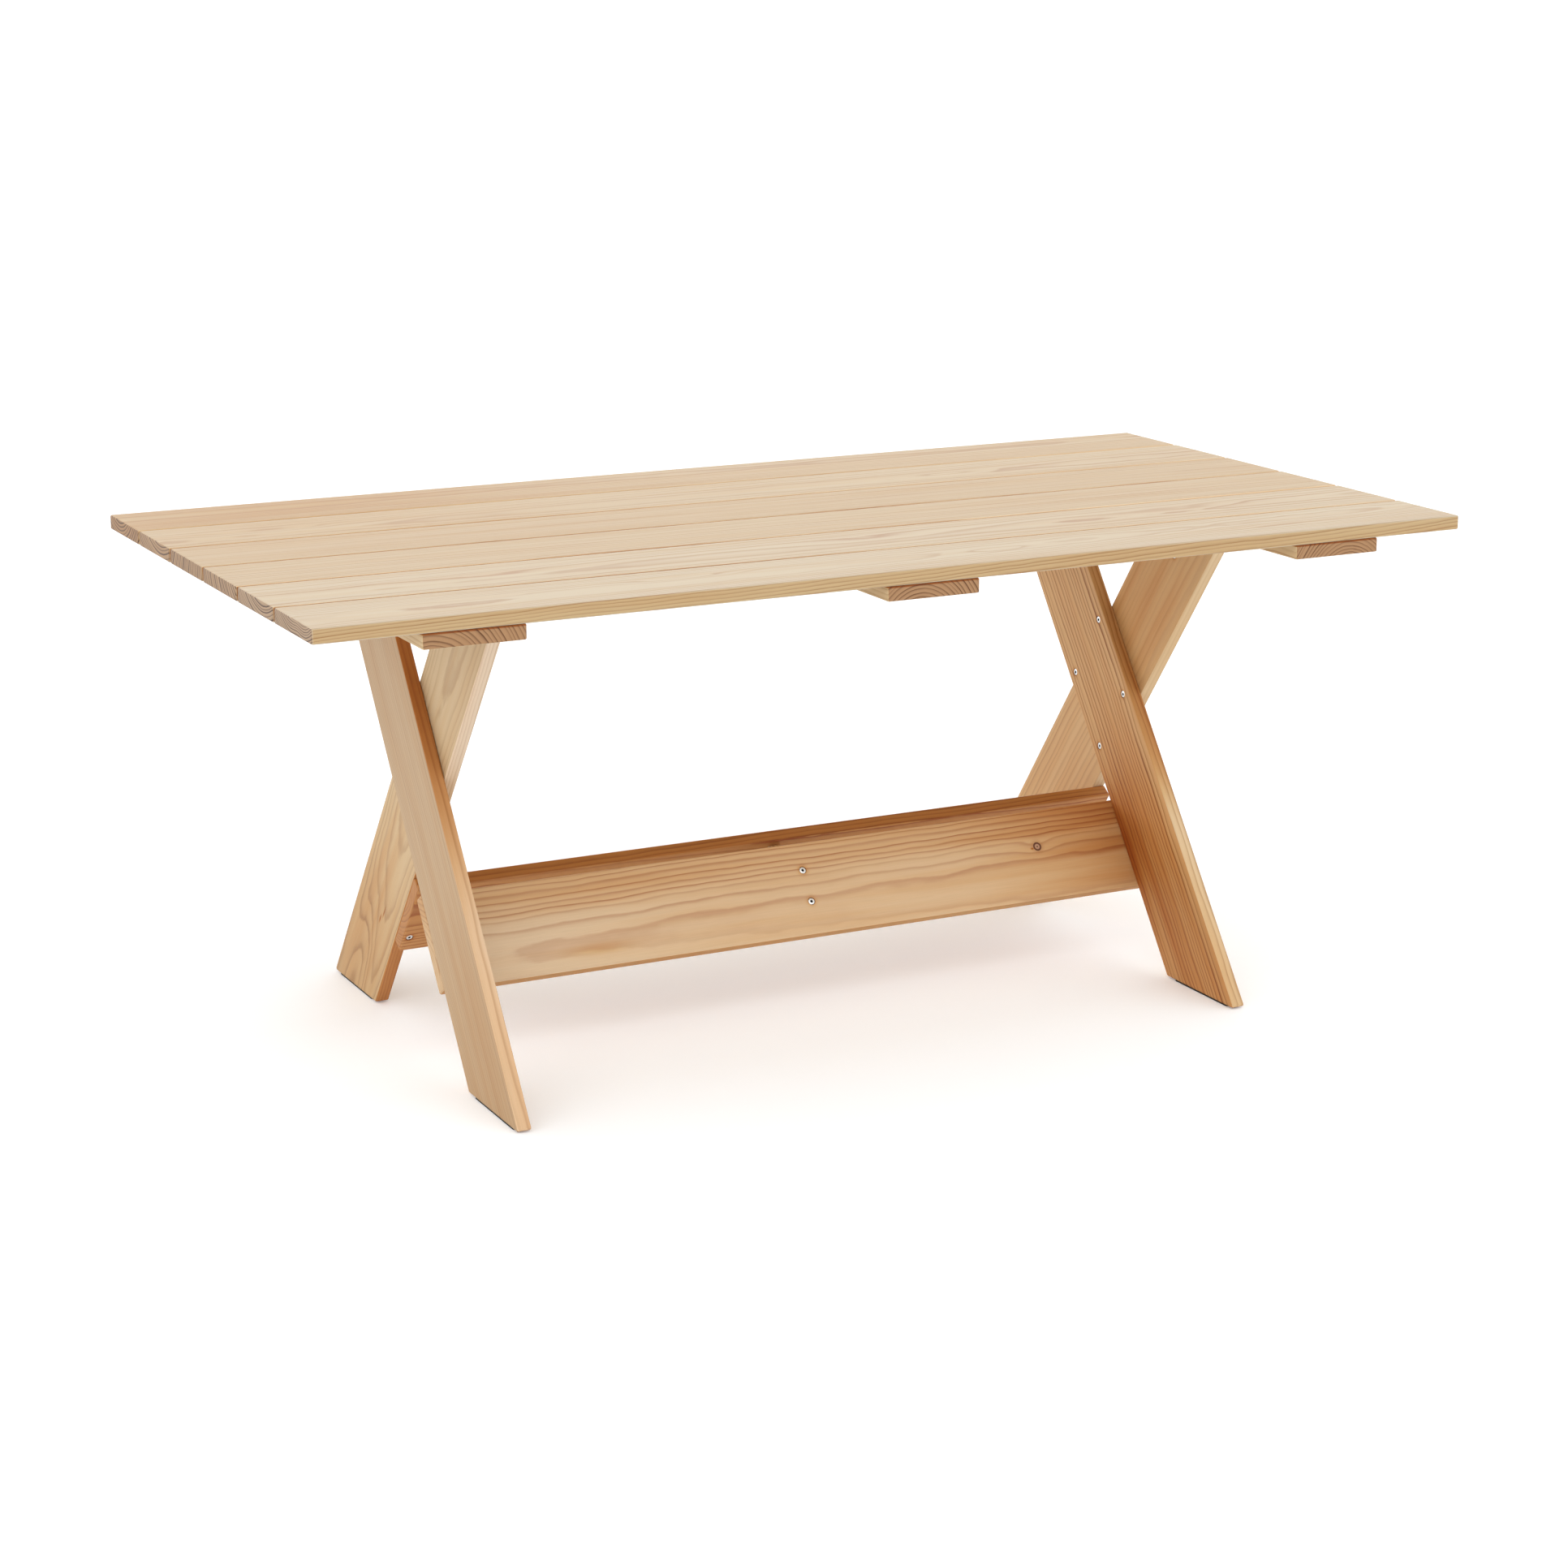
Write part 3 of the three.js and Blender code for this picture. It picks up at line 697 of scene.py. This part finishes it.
def matt(name, dark, dusty):
    """A matt dark stuff with a fine texture and a little dust, as on rubber, and near black as painted
    shade deep in a socket.
    """
    material, g = new_material(name)
    position = g.add("ShaderNodeTexCoord").outputs["Object"]
    texture = g.noise(g.stretched(position, (0.5 * MM,) * 3, 3), 2.0)
    dust = g.ramp(g.noise(g.stretched(position, (12 * MM,) * 3, 4), 4.0), -0.1, 0.3)
    tint = g.mix(dust, colour(dark), colour(dusty))
    roughness = g.math("MULTIPLY_ADD", texture, 0.15, 0.82)
    bump = g.add("ShaderNodeBump", {"Height": texture, "Strength": 0.5, "Distance": 0.1 * MM})
    g.surface({
        "Base Color": tint,
        "Roughness": roughness,
        "Normal": bump.outputs[0],
    })
    return material


HEAD_STEEL = steel("head_steel", "#E6E6E3", "#D2D3D1")
BRACKET_STEEL = steel("bracket_steel", "#BFC0BE", "#A4A6A6")
RUBBER = matt("black_rubber", "#141313", "#2A2826")
# A socket's inside is near black as painted shade.
SOCKET_SHADE = matt("socket_painted_shade", "#0B0A09", "#1E1B18")

# How far a bracket's sheared edges are eased.
BRACKET_EASE = 0.4 * MM


def dress_pads():
    for node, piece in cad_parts.items():
        if node.startswith("foot_pad"):
            piece.material_slots[0].material = RUBBER
            soften(piece)


def dress_brackets():
    """Flat steel angles: their faces are made whole, then their sheared edges are eased."""
    for node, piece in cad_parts.items():
        if node.startswith("leg_bracket"):
            piece.material_slots[0].material = BRACKET_STEEL
            piece.modifiers.new("soft edges", "NODES").node_group = EDGE_SOFTENER
            whole = piece.modifiers.new("whole faces", "DECIMATE")
            whole.decimate_type = "DISSOLVE"
            whole.angle_limit = math.radians(1)
            eased = piece.modifiers.new("eased edges", "BEVEL")
            eased.width = BRACKET_EASE
            eased.segments = 2
            eased.limit_method = "ANGLE"
            eased.angle_limit = math.radians(50)
            weighted = piece.modifiers.new("weighted normals", "WEIGHTED_NORMAL")
            weighted.keep_sharp = True


# ---------------------------------------------------------------- fasteners

# Every ring of a fastener has this many points, and a thread this many rings in each turn.
SEGMENTS = 48
STEPS_IN_TURN = 4

# How far the rims of a head and of a nut's bore are eased, and how steep the nut's chamfer is.
HEAD_EASE = 0.3
BORE_EASE = 0.35
NUT_CHAMFER = math.radians(30)

# How deep the chamfer of a socket is, and how far its floor sinks half-way in and at its middle.
SOCKET_CHAMFER = 0.25
SOCKET_SINKS = (0.3, 0.7)

# How far the point or the rounded end of a shank stands out past its last ring.
SHANK_TIP = 0.1

# Edges of a fastener that turn more than this stay sharp.
HEAD_SHARP_ANGLE = math.radians(40)
NUT_SHARP_ANGLE = math.radians(25)

# Sizes of one kind of fastener, as the CAD model has them, in millimetres: the radii of its head and
# shank, how deep the head's rim and cone are, its socket, its length and thread; and whether its end
# is blunt. Only BATTEN_SCREW isn't in the CAD model, where just its seats are cut.
Fastener = namedtuple("Fastener", "head land cone shank key key_depth length pitch thread_length blunt")

CROSSING_SCREW = Fastener(
    head=5, land=1, cone=3, shank=3.4, key=4, key_depth=2.6,
    length=38, pitch=2.4, thread_length=26, blunt=False,
)
STRETCHER_SCREW = CROSSING_SCREW._replace(length=50, thread_length=32)
LEG_BOLT = CROSSING_SCREW._replace(shank=3, length=30.5, pitch=1.0, thread_length=25, blunt=True)
BRACKET_SCREW = Fastener(
    head=4, land=1.8, cone=0.4, shank=2, key=2.5, key_depth=1.4,
    length=18, pitch=1.4, thread_length=14, blunt=False,
)
BATTEN_SCREW = Fastener(
    head=4.3, land=0.4, cone=2.4, shank=2, key=2.5, key_depth=1.8,
    length=35, pitch=1.8, thread_length=22, blunt=False,
)

NUT_ACROSS_FLATS = 10
NUT_THICKNESS = 5
NUT_BORE = 3.05


def hexagon(radius, angle):
    """How far a hexagon's side is from its middle at an angle, for corners at `radius`."""
    off_corner = angle % (math.pi / 3) - math.pi / 6
    return radius * math.cos(math.pi / 6) / math.cos(off_corner)


def ring(radius, height):
    """Points on a level ring. radius may be a number or a function of the angle, and so may height."""
    points = []
    for i in range(SEGMENTS):
        angle = 2 * math.pi * i / SEGMENTS
        r = radius(angle) if callable(radius) else radius
        z = height(angle) if callable(height) else height
        points.append(Vector((r * math.cos(angle), r * math.sin(angle), z)) * MM)
    return points


def bridge(bm, before, after, material_index=0):
    """Faces all the way round between two rings of vertices."""
    for i in range(SEGMENTS):
        j = (i + 1) % SEGMENTS
        face = bm.faces.new((before[i], before[j], after[j], after[i]))
        face.material_index = material_index


def finished(name, bm, sharp_angle, *materials):
    """The mesh of a bmesh, smooth but for its sharp edges."""
    bmesh.ops.recalc_face_normals(bm, faces=bm.faces)
    mesh = bpy.data.meshes.new(name)
    bm.to_mesh(mesh)
    bm.free()
    mesh.shade_smooth()
    mesh.set_sharp_from_angle(angle=sharp_angle)
    for material in materials:
        mesh.materials.append(material)
    return mesh


def skinned(name, rings, start, finish, shaded_rings):
    """A closed mesh over rings that follow each other, from a start point to a finish point.

    From the start as far as the ring counted by shaded_rings it is near black, as painted shade deep in
    the socket, and bright steel from there on.
    """
    bm = bmesh.new()
    loops = [[bm.verts.new(point) for point in points] for points in rings]
    for number, (before, after) in enumerate(zip(loops, loops[1:]), start=2):
        bridge(bm, before, after, int(number <= shaded_rings))
    for loop, pole in ((loops[0], start), (loops[-1], finish)):
        tip = bm.verts.new(Vector((0, 0, pole * MM)))
        for i in range(SEGMENTS):
            face = bm.faces.new((loop[i], loop[(i + 1) % SEGMENTS], tip))
            face.material_index = int(loop is loops[0])
    return finished(name, bm, HEAD_SHARP_ANGLE, HEAD_STEEL, SOCKET_SHADE)


def fastener_mesh(name, kind):
    """A countersunk screw or bolt with a six-sided socket.

    The top of its head is at Z = 0 and its shank runs down -Z.
    """
    corner = kind.key / math.sqrt(3)

    def socket(angle):
        return hexagon(corner, angle)

    rings = [
        ring(lambda angle: 0.5 * socket(angle), -kind.key_depth - SOCKET_SINKS[0]),
        ring(socket, -kind.key_depth),
        ring(socket, -SOCKET_CHAMFER),
        ring(lambda angle: 0.5 * socket(angle) + 0.56 * corner, 0.0),
        ring(kind.head - HEAD_EASE, 0.0),
        ring(kind.head - 0.3 * HEAD_EASE, -0.3 * HEAD_EASE),
        ring(kind.head, -HEAD_EASE),
        ring(kind.head, -kind.land),
        ring(kind.shank, -kind.land - kind.cone),
    ]
    # The thread is a ridge that winds down the shank; on a wood screw it shrinks to a point.
    core = (0.85 if kind.blunt else 0.74) * kind.shank
    tip_length = 1.0 if kind.blunt else 1.4 * kind.shank
    steepness = 2 if kind.blunt else 4
    thread_top = kind.length - kind.thread_length
    steps = int(kind.thread_length / kind.pitch * STEPS_IN_TURN)
    for step in range(steps + 1):
        depth = thread_top + (kind.length - thread_top) * step / steps
        slim = min(1.0, max(0.12, (kind.length - depth) / tip_length))
        run_in = min(1.0, step / STEPS_IN_TURN)

        def ridge(angle, depth=depth, slim=slim, run_in=run_in):
            turn = (depth / kind.pitch + angle / (2 * math.pi)) % 1.0
            height = max(0.0, 1 - steepness * abs(turn - 0.5))
            return slim * (core + (kind.shank - core) * (height * run_in + (1 - run_in)))

        rings.append(ring(ridge, -depth))
    start = -kind.key_depth - SOCKET_SINKS[1]
    return skinned(name, rings, start, -kind.length - SHANK_TIP, shaded_rings=3)


def nut_mesh(name):
    """A six-sided nut with both faces chamfered and its bore open."""
    corner = NUT_ACROSS_FLATS / math.sqrt(3)
    flat = 0.47 * NUT_ACROSS_FLATS
    half = NUT_THICKNESS / 2

    def outline(angle):
        return hexagon(corner, angle)

    def shoulder(angle):
        return half - (outline(angle) - flat) * math.tan(NUT_CHAMFER)

    levels = [
        ring(NUT_BORE, half - BORE_EASE),
        ring(NUT_BORE + BORE_EASE, half),
        ring(flat, half),
        ring(outline, shoulder),
        ring(outline, lambda angle: -shoulder(angle)),
        ring(flat, -half),
        ring(NUT_BORE + BORE_EASE, -half),
        ring(NUT_BORE, BORE_EASE - half),
    ]
    bm = bmesh.new()
    loops = [[bm.verts.new(point) for point in points] for points in levels]
    for before, after in zip(loops, loops[1:] + loops[:1]):
        bridge(bm, before, after)
    return finished(name, bm, NUT_SHARP_ANGLE, BRACKET_STEEL)


def stand(name, mesh, seat, facing, turn):
    """A fastener whose head's middle is at `seat` and whose head looks along `facing`."""
    piece = bpy.data.objects.new(name, mesh)
    spin = Matrix.Rotation(turn, 4, "Z")
    aim = facing.to_track_quat("Z", "Y").to_matrix().to_4x4()
    piece.matrix_world = Matrix.Translation(seat) @ aim @ spin
    bpy.context.collection.objects.link(piece)
    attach(piece, "root")
    return piece


def seat_of(node):
    """The middle of a CAD fastener's head and the way the head looks, read from its own points."""
    points = np.array([v.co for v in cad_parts[node].data.vertices])
    points = np.unique(points.round(6), axis=0)
    middle = (points.max(0) + points.min(0)) / 2
    spread = np.cov((points - points.mean(0)).T)
    axis = np.linalg.eigh(spread)[1][:, -1]
    depths = points @ axis
    wide = np.linalg.norm((points - middle) - np.outer((points - middle) @ axis, axis), axis=1)
    if depths[wide.argmax()] < middle @ axis:
        axis = -axis
        depths = -depths
    head = points[depths > depths.max() - 0.05 * MM]
    return Vector(head.mean(0)), Vector(axis)


def turn_of(name):
    """How far round a fastener was driven: any angle, but always the same one for the same name."""
    return math.radians(sum((i + 1) * ord(letter) for i, letter in enumerate(name)) * 37 % 360)


FASTENER_KINDS = {
    "crossing_screw": CROSSING_SCREW,
    "stretcher_screw": STRETCHER_SCREW,
    "spacer_screw": STRETCHER_SCREW,
    "leg_bolt": LEG_BOLT,
    "bracket_screw": BRACKET_SCREW,
}


def add_fasteners():
    for prefix, kind in FASTENER_KINDS.items():
        mesh = fastener_mesh(prefix, kind)
        for node in sorted(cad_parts):
            if node.startswith(prefix):
                seat, facing = seat_of(node)
                piece = stand(f"fine_{node}", mesh, seat, facing, turn_of(node))
                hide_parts(node)


def add_nuts():
    mesh = nut_mesh("leg_nut")
    for node in sorted(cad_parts):
        if node.startswith("leg_nut"):
            low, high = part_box(node)
            piece = stand(f"fine_{node}", mesh, (low + high) / 2, X_AXIS, turn_of(node))
            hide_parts(node)


def add_batten_screws():
    mesh = fastener_mesh("batten_screw", BATTEN_SCREW)
    for batten in BATTEN_CUTS:
        low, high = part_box(batten)
        for number, board in enumerate(TOP_CUTS, start=1):
            board_low, board_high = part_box(board)
            middle = (board_low.y + board_high.y) / 2
            for end, y in (("a", middle - BATTEN_SCREW_SPREAD), ("b", middle + BATTEN_SCREW_SPREAD)):
                name = batten.replace("batten", "batten_screw") + f"_{number}{end}"
                seat = Vector(((low.x + high.x) / 2, y, low.z + BATTEN_SCREW_SINK))
                stand(name, mesh, seat, -Z_AXIS, turn_of(name))


# ---------------------------------------------------------------- the whole scene

bpy.context.scene.view_settings.view_transform = "Standard"
add_camera()
add_floor()
add_sky()
dress_boards()
dress_pads()
dress_brackets()
add_fasteners()
add_nuts()
add_batten_screws()

bpy.context.view_layer.update()
